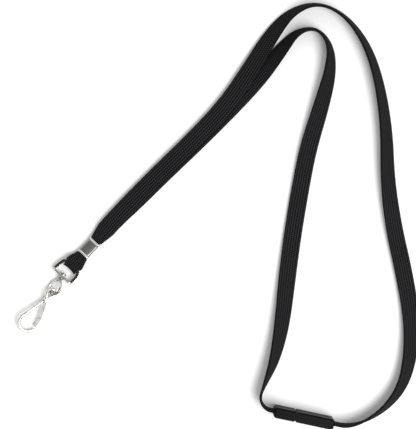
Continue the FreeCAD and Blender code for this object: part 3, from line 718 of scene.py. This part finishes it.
def hook_loop_point(x, y, z=0.0):
    """A point of the hook's small loop, which is skewed to the crossing of its arms."""
    cosine, sine = math.cos(HOOK_LOOP_SKEW), math.sin(HOOK_LOOP_SKEW)
    return Vector((x * cosine - y * sine, x * sine + y * cosine, z))


def at_hook(points):
    """Points of the hook, measured from the crossing of its arms, hung in the eye."""
    turn = Matrix.Identity(4)
    for axis, degrees in HOOK_TURNS:
        turn = turn @ Matrix.Rotation(math.radians(degrees), 4, axis)
    link = hook_loop_point(HOOK_LINK, 0)
    return at_eye([turn @ (point - link) + Vector((EYE_BOTTOM_X, 0, 0)) for point in points])


# Braided strap -----------------------------------------------------------------------------------


def read_spline(route, heights):
    """Points of one smooth curve through a route, whose height is whatever list it is given."""
    curve = bpy.data.curves.new("route", "CURVE")
    curve.dimensions = "3D"
    curve.resolution_u = 40
    spline = curve.splines.new("NURBS")
    spline.points.add(len(route) - 1)
    for knot, (x, y, roll), height in zip(spline.points, route, heights):
        knot.co = (x * MM, y * MM, height * MM, 1)
    spline.order_u = 3
    spline.use_endpoint_u = True
    holder = bpy.data.objects.new("route", curve)
    mesh = bpy.data.meshes.new_from_object(holder)
    points = [vertex.co / MM for vertex in mesh.vertices]
    bpy.data.objects.remove(holder)
    bpy.data.curves.remove(curve)
    bpy.data.meshes.remove(mesh)
    return points


def even_steps(points, values, step):
    """The same line cut into even steps, with the value that goes with each point."""
    travelled = [0.0]
    for before, after in zip(points, points[1:]):
        travelled.append(travelled[-1] + (after - before).length)
    total = travelled[-1]
    count = max(2, round(total / step))
    even, index = [], 0
    for number in range(count + 1):
        distance = min(total, total * number / count)
        while index < len(points) - 2 and travelled[index + 1] < distance:
            index += 1
        gap = travelled[index + 1] - travelled[index]
        share = (distance - travelled[index]) / gap if gap else 0.0
        even.append(
            (
                distance,
                points[index].lerp(points[index + 1], share),
                values[index] + (values[index + 1] - values[index]) * share,
            )
        )
    return even


def run_at(even, number):
    """Which way a line of even steps runs at one of them."""
    return even[min(number + 1, len(even) - 1)][1] - even[max(number - 1, 0)][1]


def braid_columns(ribs):
    """Round the section of the strap: share of the half width, which face, and height on its rib."""
    face = []
    for number in range(ribs * COLUMNS_PER_RIB + 1):
        turns = number / COLUMNS_PER_RIB
        face.append((1 - 2 * turns / ribs, abs(math.sin(math.pi * turns)) ** 0.6, turns))
    columns = [(across, 1.0, height, turns) for across, height, turns in face]
    columns += [(-across, side, 0.0, ribs) for across, side in SELVEDGE]
    columns += [(across, -1.0, height, turns) for across, height, turns in reversed(face)]
    columns += [(across, side, 0.0, 0) for across, side in reversed(SELVEDGE)]
    return columns


def braid_mesh(name, stations, materials, body, sag=None):
    """A flat braid along its stations: distance, centre, across, through, width, thickness and pleat."""
    look = bpy.context.scene.lanyard_strap
    columns = braid_columns(look.ribs)
    depth = look.rib_depth / MM
    points, uvs = [], []
    for distance, centre, across, through, width, thickness, pleat in stations:
        for share, side, height, turns in columns:
            beat = distance / STITCH_LENGTH + 0.5 * (int(turns) % 2) + 0.35 * side
            stitch = 0.5 + 0.5 * math.cos(math.tau * beat)
            relief = depth * (height * (0.72 + 0.28 * stitch) - 1) if abs(share) < 1 else -0.55 * depth
            fold = pleat * math.cos(math.tau * 1.5 * share)
            rise = side * (thickness / 2 + relief) + fold
            reach = min(1.0, abs(share)) * math.copysign(width / 2, share) * 0.975
            if abs(share) > 1:
                reach = share * width / 2 / SELVEDGE[1][0]
            point = centre + across * reach + through * rise
            points.append(sag(point, share) if sag else point)
            uvs.append((share * look.width / MM / 2 + look.width / MM / 2, distance))
    size = len(columns)
    faces = skin_faces(len(stations), size, False, True)
    faces.append(tuple(range(size))[::-1])
    faces.append(tuple(range(len(points) - size, len(points))))
    strap = new_piece(name, points, faces, materials, body)
    layer = strap.data.uv_layers.new(name="braid_mm")
    corners = [0] * len(strap.data.loops)
    strap.data.loops.foreach_get("vertex_index", corners)
    layer.data.foreach_set("uv", [part for corner in corners for part in uvs[corner]])
    return strap


def strap_stations(route, upper, clasp_end):
    """Where the strap is at each step of its route, how it is rolled, and what it rests on."""
    look = bpy.context.scene.lanyard_strap
    full_width, full_thickness = look.width / MM, look.thickness / MM
    lane = 1.5 if upper else 0.5
    inside_z = CRIMP_FLOOR + PINCHED_THICKNESS * lane

    travelled = [0.0]
    for (x0, y0, _), (x1, y1, _) in zip(route, route[1:]):
        travelled.append(travelled[-1] + math.hypot(x1 - x0, y1 - y0) * 0.985)

    def resting_height(distance, roll):
        spread = smooth(distance / BUNCH_LENGTH)
        angle = math.radians(roll)
        layer = 1 - smooth((distance - UPPER_LAYER_UNTIL) / UPPER_LAYER_FADE) if upper else 0.0
        near_clasp = 1 - smooth((clasp_end - distance) / CLASP_LIFT_LENGTH)
        width = between(PINCHED_WIDTH, full_width, spread)
        thickness = between(PINCHED_THICKNESS, full_thickness, spread)
        lift = layer * LAYER_LIFT + near_clasp * CLASP_LIFT
        free_z = width / 2 * math.sin(angle) + thickness / 2 * math.cos(angle) + lift
        return between(inside_z, free_z, spread)

    heights = [resting_height(distance, roll) for distance, (_, _, roll) in zip(travelled, route)]
    centres = read_spline(route, heights)
    rolls = [point.z for point in read_spline(route, [roll for _, _, roll in route])]
    stations = []
    even = even_steps(centres, rolls, STATION_STEP)
    for number, (distance, centre, roll) in enumerate(even):
        direction = run_at(even, number)
        along = Vector((direction.x, direction.y, 0)).normalized()
        sideways = Vector((along.y, -along.x, 0))
        angle = math.radians(roll)
        across = sideways * math.cos(angle) + UP * math.sin(angle)
        through = UP * math.cos(angle) - sideways * math.sin(angle)
        spread = smooth(distance / BUNCH_LENGTH)
        width = between(PINCHED_WIDTH, full_width, flare(distance, BUNCH_LENGTH))
        thickness = between(PINCHED_THICKNESS, full_thickness, spread)
        rest = Vector((centre.x, centre.y, max(centre.z, resting_height(distance, roll))))
        pleat = PLEAT_DEPTH * spread * (1 - spread)
        stations.append((distance, rest, across, through, width, thickness, pleat))
    return stations


class LANYARD_OT_straps(bpy.types.Operator):
    """Make the two long runs of the strap, from the crimp to each half of the clasp"""

    bl_idname = "lanyard.straps"
    bl_label = "Straps"

    def execute(self, context):
        fabric = braided_polyester()
        for name, route, upper, length, nodes in (
            ("strap_right", RIGHT_ROUTE, True, 457.9, ("strap_right_run", "strap_socket_end")),
            ("strap_left", LEFT_ROUTE, False, 394.0, ("strap_left_run", "strap_plug_tail", "strap_plug_end")),
        ):
            stations = strap_stations(route, upper, length)
            strap = braid_mesh(name, stations, [fabric], "lanyard" if upper else None)
            if not upper:
                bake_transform(strap)
            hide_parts(*nodes)
        return {"FINISHED"}


class LANYARD_OT_hook_loop(bpy.types.Operator):
    """Make the short loop of strap that runs out of the crimp and round the bail's bar"""

    bl_idname = "lanyard.hook_loop"
    bl_label = "Strap loop at the bail"

    def execute(self, context):
        half = CRIMP_LENGTH / 2
        low = CRIMP_FLOOR + PINCHED_THICKNESS / 2
        high = low + PINCHED_THICKNESS
        inner_end = -half + 0.3

        def layer(level, at_bar):
            """One layer's line, from inside the crimp to the top or bottom of its turn round the bar."""
            line = [(between(inner_end, half, number / 20), level) for number in range(21)]
            for number in range(1, 30):
                share = number / 30
                line.append((between(half, BAR_X, share), between(level, at_bar, smooth(share))))
            return line

        profile = layer(low, BAR_HEIGHT - LOOP_MID_RADIUS)
        for number in range(33):
            angle = math.radians(-90 + 180 * number / 32)
            profile.append(
                (BAR_X + LOOP_MID_RADIUS * math.cos(angle), BAR_HEIGHT + LOOP_MID_RADIUS * math.sin(angle))
            )
        profile += layer(high, BAR_HEIGHT + LOOP_MID_RADIUS)[::-1]
        line = [Vector((x, 0, z)) for x, z in profile]
        even = even_steps(line, [0.0] * len(line), STATION_STEP)
        stations = []
        for number, (distance, centre, _) in enumerate(even):
            through = SIDEWAYS.cross(run_at(even, number).normalized()).normalized()
            spread = flare(centre.x - half, LOOP_FLARE_LENGTH) * smooth((centre.x - half + 1.0) / 1.5)
            pinch = smooth((centre.x - LOOP_FOLD_START) / 1.2)
            width = between(PINCHED_WIDTH, LOOP_WIDTH, spread) - LOOP_WAIST * pinch
            thickness = between(PINCHED_THICKNESS, LOOP_THICKNESS, spread)
            pleat = PLEAT_DEPTH * spread * (1 - spread)
            stations.append((distance, centre, SIDEWAYS, through, width, thickness, pleat))

        def hollow(point, share):
            """The fold follows the bail's arched bar."""
            depth = LOOP_HOLLOW * (1 - share * share) * smooth((point.x - LOOP_HOLLOW_START) / 4.0)
            return point - Vector((depth, 0, 0))

        loop = braid_mesh("strap_hook_loop_braid", stations, [braided_polyester()], None, sag=hollow)
        loop.data.transform(HARDWARE_TURN)
        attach(loop, "lanyard")
        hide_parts("strap_hook_loop")
        return {"FINISHED"}


# Metal hardware ----------------------------------------------------------------------------------


class LANYARD_OT_crimp(bpy.types.Operator):
    """Make the folded crimp with a bright rolled lip at each end and its seam underneath"""

    bl_idname = "lanyard.crimp"
    bl_label = "Crimp"

    def execute(self, context):
        half_width, top = CRIMP_WIDTH / 2, CRIMP_HEIGHT
        near, far = CRIMP_SEAM

        def section(inset):
            """The strip's outline from one side of the seam round to the other."""
            side = half_width - inset
            corners = [
                Vector((0, far, inset)),
                Vector((0, side, inset)),
                Vector((0, side, top - inset)),
                Vector((0, -side, top - inset)),
                Vector((0, -side, inset)),
                Vector((0, near, inset)),
            ]
            bend = max(0.15, CRIMP_CORNER_RADIUS - inset)
            return bent_line(corners, [0, bend, bend, bend, bend, 0], steps=7)

        def along(place, point):
            """The mouth is bowed: its middle is nearer to the crimp's middle than its corners are."""
            across = point.y / half_width
            bow = CRIMP_MOUTH_BOW * (1 - across * across) * (point.z / top) ** 2
            return Vector((place - bow * place / half, 0, 0)) + point

        outer = section(0.0)
        half = CRIMP_LENGTH / 2
        lip_end = CRIMP_LIP[-1][0]
        steps = 10
        lip = [(-half + inwards, outwards) for inwards, outwards in CRIMP_LIP]
        rings = list(lip)
        for number in range(1, steps):
            rings.append((-half + lip_end + (CRIMP_LENGTH - 2 * lip_end) * number / steps, 0.0))
        rings += [(-place, outwards) for place, outwards in reversed(lip)]
        points = []
        for place, outwards in rings:
            for point in outer:
                away = Vector((0, point.y, (point.z - top / 2) * 1.2)).normalized()
                # The lip stays flat where the crimp rests on the table.
                spread = outwards if point.z > 0.4 else min(outwards, 0.0)
                points.append(along(place, point) + away * spread)
        rows = len(rings)
        columns = len(outer)
        count = len(points)
        for place in (lip[0][0], -lip[0][0]):
            points += [along(place, point) for point in section(CRIMP_WALL)]
        faces = skin_faces(rows, columns, False, False)
        faces += [face[::-1] for face in skin_faces(2, columns, False, False, count)]
        for column in range(columns - 1):
            faces.append((count + column, count + column + 1, column + 1, column))
            last = (rows - 1) * columns
            far_inner = count + columns
            faces.append((last + column, last + column + 1, far_inner + column + 1, far_inner + column))
        # The lips get bright nickel that never darkens, beside the darker satin faces: partly a burnished
        # edge, partly a painted highlight.
        metals = [satin_nickel(), plated_nickel("burnished_nickel_lip_painted_highlight", 0.0, 0.22)]
        crimp = new_piece("crimp_folded_strip", at_hardware(points), faces, metals, "lanyard")
        lip_rows = set(range(5)) | set(range(rows - 6, rows - 1))
        for number, face in enumerate(crimp.data.polygons):
            if number < (rows - 1) * (columns - 1):
                row, column = divmod(number, columns - 1)
                if row in lip_rows:
                    face.material_index = 1
            else:
                face.material_index = 1
        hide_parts("crimp")
        return {"FINISHED"}


class LANYARD_OT_bail(bpy.types.Operator):
    """Make the stamped, arched bail and the plate that carries the swivel"""

    bl_idname = "lanyard.bail"
    bl_label = "Bail"

    def execute(self, context):
        rays = 180

        def reach(outline, angle):
            """Distance from the middle of the opening to an outline, along one ray."""
            ray = Vector((math.cos(angle), math.sin(angle), 0))
            best = 0.0
            for start, end in zip(outline, outline[1:] + outline[:1]):
                edge = end - start
                cross = ray.x * edge.y - ray.y * edge.x
                if abs(cross) < 1e-9:
                    continue
                gap = start - BAIL_OPENING_MIDDLE
                distance = (gap.x * edge.y - gap.y * edge.x) / cross
                share = (gap.x * ray.y - gap.y * ray.x) / cross
                if distance > 0 and -1e-6 <= share <= 1 + 1e-6:
                    best = max(best, distance)
            return BAIL_OPENING_MIDDLE + ray * best

        loops = []
        for shape in (BAIL_OUTLINE, BAIL_OPENING):
            corners = [Vector((x, y, 0)) for (x, y), _ in shape]
            outline = bent_line(corners, [radius for _, radius in shape], closed=True, steps=12)
            loops.append([reach(outline, math.tau * number / rays) for number in range(rays)])
        outer, inner = loops
        low, high = BAR_HEIGHT - BAIL_SHEET / 2, BAR_HEIGHT + BAIL_SHEET / 2
        points = []
        for line, height in ((outer, low), (outer, high), (inner, high), (inner, low)):
            points += [Vector((point.x, point.y, height)) for point in line]

        made, plate = [], []
        half_depth = PLATE_DEPTH / 2
        corners = [
            Vector((0, side * PLATE_HALF_WIDTH, height * half_depth))
            for side, height in ((1, 1), (-1, 1), (-1, -1), (1, -1))
        ]
        rim = bent_line(corners, [PLATE_CORNER_RADIUS] * 4, closed=True, steps=23)
        back, front = PLATE_X
        middle = Vector((0, 0, BAR_HEIGHT))
        for x in (back, front):
            plate += [Vector((x, 0, 0)) + middle + point for point in rim]
        for x in (front, back):
            # The bore leans with the swivel's pin.
            shift = (x - sum(PLATE_X) / 2) * math.tan(EYE_LEAN_ANGLE)
            centre = Vector((x, shift, 0)) + middle
            plate += [centre + point.normalized() * PLATE_BORE_RADIUS for point in rim]
        for name, shell, rows, metal in (
            ("bail_stamping", points, rays, plated_nickel()),
            ("bail_plate", plate, len(rim), plated_nickel("rubbed_nickel_plated_steel", 0.25, 0.24)),
        ):
            faces = skin_faces(4, rows, True, True)
            made.append(new_piece(name, at_hardware(shell), faces, [metal], "bail", sharp=40))
        for piece, edge in zip(made, (1.0, PLATE_EDGE_SHARE)):
            piece.data.flip_normals()
            add_bevel(piece, context.scene.lanyard_hardware.bail_edge * edge, segments=4)
        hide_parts("bail")
        return {"FINISHED"}


class LANYARD_OT_swivel_eye(bpy.types.Operator):
    """Make the swivel: peened pin, grooved collar and oval ring of round wire"""

    bl_idname = "lanyard.swivel_eye"
    bl_label = "Swivel eye"

    def execute(self, context):
        length = EYE_BOTTOM_X - EYE_TOP_X
        ring = []
        for step in range(96):
            angle = math.tau * step / 96
            x = EYE_TOP_X + length * (1 - math.cos(angle)) / 2
            y = EYE_BEND_RADIUS * math.sin(angle) * (1 - EYE_PEAR * math.cos(angle))
            ring.append(Vector((x, y, 0)))
        points, faces = joined(turned_rings(STEM_OUTLINE), wire_rings(ring, EYE_WIRE_RADIUS, closed=True))
        rolled = at_eye([EYE_ROLL @ point for point in points])
        # Strong dark smears on the ring: partly dulled nickel, partly painted dark reflection.
        nickel = [plated_nickel("dulled_nickel_painted_dark_reflection", 0.72)]
        eye = new_piece("swivel_eye_wire", rolled, faces, nickel, "eye", sharp=50)
        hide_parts("swivel_eye")
        return {"FINISHED"}


class LANYARD_OT_hook(bpy.types.Operator):
    """Make the wire hook and its sprung gate arm"""

    bl_idname = "lanyard.hook"
    bl_label = "Wire hook"

    def execute(self, context):
        centre = HOOK_BOW_CENTRE
        spread = math.asin(HOOK_BOW_RADIUS / centre.length)
        arm_angle = math.atan2(centre.y, centre.x) - spread
        arm_length = centre.length * math.cos(spread)
        arm_end = Vector((math.cos(arm_angle), math.sin(arm_angle), 0)) * arm_length
        end_angle = math.degrees(math.atan2(arm_end.y - centre.y, arm_end.x - centre.x))
        bow = []
        for step in range(49):
            angle = math.radians(HOOK_TIP_ANGLE + (end_angle - HOOK_TIP_ANGLE) * step / 48)
            bow.append(centre + Vector((math.cos(angle), math.sin(angle), 0)) * HOOK_BOW_RADIUS)
        above = 2 * HOOK_WIRE_RADIUS + GATE_CROSSING_GAP
        corners = [
            arm_end,
            Vector((0, 0, 0)),
            hook_loop_point(-HOOK_LOOP_LENGTH, HOOK_LOOP_SPREAD),
            hook_loop_point(-HOOK_LOOP_LENGTH, -HOOK_LOOP_SPREAD),
            Vector((0, 0, above)),
            Vector((*GATE_KNEE, above * 0.7)),
            GATE_TIP,
        ]
        steps = 18
        wire = bent_line(corners, HOOK_BENDS, steps=steps)
        # The gate arm begins three steps into the loop's second bend.
        root = 1 + 2 * (steps + 1) + 3
        wire_points, wire_faces = wire_rings(bow + wire[1 : root + 1], HOOK_WIRE_RADIUS)
        gate_points, gate_faces = wire_rings(wire[root:], HOOK_WIRE_RADIUS)
        nickel = [plated_nickel()]
        hook = new_piece("hook_bow_wire", at_hook(wire_points), wire_faces, nickel, "hook")
        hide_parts("hook_wire")
        gate = new_piece("hook_gate_wire", at_hook(gate_points), gate_faces, nickel, "gate")
        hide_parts("hook_gate_arm")
        return {"FINISHED"}


# Breakaway clasp ---------------------------------------------------------------------------------


class LANYARD_OT_clasp(bpy.types.Operator):
    """Finish the moulded parts of the breakaway clasp"""

    bl_idname = "lanyard.clasp"
    bl_label = "Breakaway clasp"

    def execute(self, context):
        shells = moulded_acetal("moulded_black_acetal", 1.0, 0.46, 0.35)
        pins = moulded_acetal("polished_black_acetal", 0.8, 0.24, 0.12)
        for node, plastic in (
            ("plug_upper_shell", shells),
            ("plug_lower_shell", shells),
            ("socket_upper_shell", shells),
            ("socket_lower_shell", shells),
            ("plug_tongue", shells),
            ("socket_grip_jaws", shells),
            ("plug_lock_pin", pins),
            ("socket_lock_pin", pins),
        ):
            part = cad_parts[node]
            for slot in part.material_slots:
                slot.link = "OBJECT"
                slot.material = plastic
            if node != "socket_grip_jaws":
                add_bevel(part, context.scene.lanyard_clasp.edge, segments=2, angle=28)
        return {"FINISHED"}


# Stage -------------------------------------------------------------------------------------------


class LANYARD_OT_stage(bpy.types.Operator):
    """Set out the camera, the white paper and the soft studio light"""

    bl_idname = "lanyard.stage"
    bl_label = "Stage"

    def execute(self, context):
        look = context.scene.lanyard_stage
        camera = bpy.data.cameras.new("camera")
        camera.lens = 100
        camera.sensor_width = 36
        camera.clip_end = 20
        holder = bpy.data.objects.new("camera", camera)
        holder.location = VIEW_MIDDLE + UP * look.camera_height
        context.scene.collection.objects.link(holder)
        context.scene.camera = holder

        size = 4.0
        corners = [(-size, -size, 0), (size, -size, 0), (size, size, 0), (-size, size, 0)]
        mesh = bpy.data.meshes.new("background_paper")
        mesh.from_pydata([(x, y, -0.00005) for x, y, z in corners], [], [(0, 1, 2, 3)])
        mesh.materials.append(white_paper())
        floor = bpy.data.objects.new("background_paper", mesh)
        context.scene.collection.objects.link(floor)

        lamp = bpy.data.lights.new("key_softbox", "AREA")
        lamp.shape = "DISK"
        lamp.size = 0.60
        lamp.energy = look.key_power
        key = bpy.data.objects.new("key_softbox", lamp)
        key.location = (0.43, -0.27, 0.85)
        aim = VIEW_MIDDLE - key.location
        key.rotation_euler = aim.to_track_quat("-Z", "Y").to_euler()
        context.scene.collection.objects.link(key)

        # A studio's ceiling is dark round the camera, bright in the softboxes beside it, dim at the walls.
        world = bpy.data.worlds.new("studio")
        world.use_nodes = True
        tree = world.node_tree
        tree.nodes.clear()
        place = add_node(tree, "ShaderNodeTexCoord")
        sides = add_node(tree, "ShaderNodeSeparateXYZ", {"Vector": place.outputs["Generated"]})
        ramp = add_node(tree, "ShaderNodeValToRGB", {"Fac": sides.outputs["Z"]})
        stops = ((0.0, 0.03), (0.34, 0.04), (0.46, 0.95), (0.86, 1.1), (0.945, 0.10), (1.0, 0.04))
        ramp.color_ramp.elements[0].position = stops[0][0]
        ramp.color_ramp.elements[1].position = stops[-1][0]
        for position, _ in stops[1:-1]:
            ramp.color_ramp.elements.new(position)
        for element, (_, level) in zip(ramp.color_ramp.elements, stops):
            element.color = (level, level, level, 1)
        sky = add_node(tree, "ShaderNodeBackground", {"Color": ramp.outputs["Color"], "Strength": look.sky})
        add_node(tree, "ShaderNodeOutputWorld", {"Surface": sky.outputs["Background"]})
        context.scene.world = world
        context.scene.view_settings.view_transform = "Standard"
        return {"FINISHED"}


class LANYARD_PT_sidebar(bpy.types.Panel):
    """List the lanyard's sizes and colours, and the makers of its pieces"""

    bl_idname = "LANYARD_PT_sidebar"
    bl_label = "Lanyard badge holder"
    bl_space_type = "VIEW_3D"
    bl_region_type = "UI"
    bl_category = "Lanyard"

    def draw(self, context):
        for settings in ("lanyard_strap", "lanyard_hardware", "lanyard_clasp", "lanyard_stage"):
            group = getattr(context.scene, settings)
            column = self.layout.column(align=True)
            for name in group.__annotations__:
                column.prop(group, name)
        for operator in OPERATORS:
            self.layout.operator(operator.bl_idname)


SETTINGS = {
    "lanyard_strap": LanyardStrapSettings,
    "lanyard_hardware": LanyardHardwareSettings,
    "lanyard_clasp": LanyardClaspSettings,
    "lanyard_stage": LanyardStageSettings,
}
OPERATORS = (
    LANYARD_OT_stage,
    LANYARD_OT_straps,
    LANYARD_OT_hook_loop,
    LANYARD_OT_crimp,
    LANYARD_OT_bail,
    LANYARD_OT_swivel_eye,
    LANYARD_OT_hook,
    LANYARD_OT_clasp,
)


def register():
    for name, group in SETTINGS.items():
        bpy.utils.register_class(group)
        setattr(bpy.types.Scene, name, PointerProperty(type=group))
    for operator in OPERATORS:
        bpy.utils.register_class(operator)
    bpy.utils.register_class(LANYARD_PT_sidebar)


def unregister():
    bpy.utils.unregister_class(LANYARD_PT_sidebar)
    for operator in reversed(OPERATORS):
        bpy.utils.unregister_class(operator)
    for name, group in SETTINGS.items():
        delattr(bpy.types.Scene, name)
        bpy.utils.unregister_class(group)


def main():
    register()
    bpy.ops.lanyard.stage()
    bpy.ops.lanyard.straps()
    bpy.ops.lanyard.hook_loop()
    bpy.ops.lanyard.crimp()
    bpy.ops.lanyard.bail()
    bpy.ops.lanyard.swivel_eye()
    bpy.ops.lanyard.hook()
    bpy.ops.lanyard.clasp()


if __name__ == "__main__":
    main()
